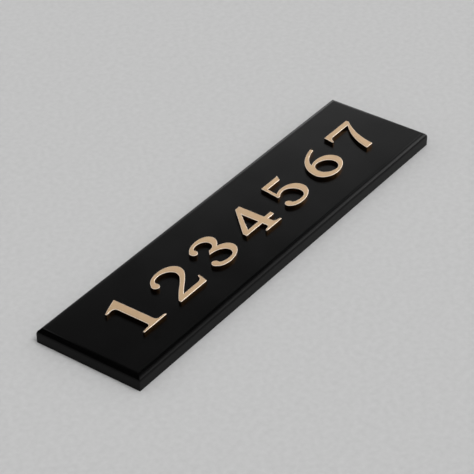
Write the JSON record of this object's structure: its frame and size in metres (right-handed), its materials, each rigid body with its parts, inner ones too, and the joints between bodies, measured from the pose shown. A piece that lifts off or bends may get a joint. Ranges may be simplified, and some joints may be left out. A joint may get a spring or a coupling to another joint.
{
  "type": "house name plate",
  "caption": "Flat black rounded-edge board with a row of raised champagne-gold serif numerals, hung on keyhole hangers let into its back.",
  "frame": {"origin": "centre of the board's back face, which lies against the wall or on a table", "axes": "+X along the row in reading direction, +Y up the numerals, +Z out of the face"},
  "size_m": [0.41, 0.1, 0.016],
  "materials": {
    "black_lacquer": "dense fibreboard under smooth satin black lacquer, sprayed all over",
    "champagne_gold": "flat-cut metal, fine satin champagne-gold faces and darker polished cut edges",
    "weld_stud": "plain turned studs, hidden in the board",
    "zinc_plate": "stamped steel strip, bright zinc plated",
    "screw_steel": "countersunk steel screws, zinc plated, cross recess"
  },
  "bodies": {
    "root": {"board": "black_lacquer", "numeral_1": "champagne_gold", "numeral_2": "champagne_gold", "numeral_3": "champagne_gold", "numeral_4": "champagne_gold", "numeral_5": "champagne_gold", "numeral_6": "champagne_gold", "numeral_7": "champagne_gold", "stud_1_a": "weld_stud", "stud_1_b": "weld_stud", "stud_2_a": "weld_stud", "stud_2_b": "weld_stud", "stud_3_a": "weld_stud", "stud_3_b": "weld_stud", "stud_4_a": "weld_stud", "stud_4_b": "weld_stud", "stud_5_a": "weld_stud", "stud_5_b": "weld_stud", "stud_6_a": "weld_stud", "stud_6_b": "weld_stud", "stud_7_a": "weld_stud", "stud_7_b": "weld_stud", "keyhole_hanger_left": "zinc_plate", "hanger_screw_left_lower": "screw_steel", "hanger_screw_left_upper": "screw_steel", "keyhole_hanger_right": "zinc_plate", "hanger_screw_right_lower": "screw_steel", "hanger_screw_right_upper": "screw_steel"}
  },
  "joints": []
}
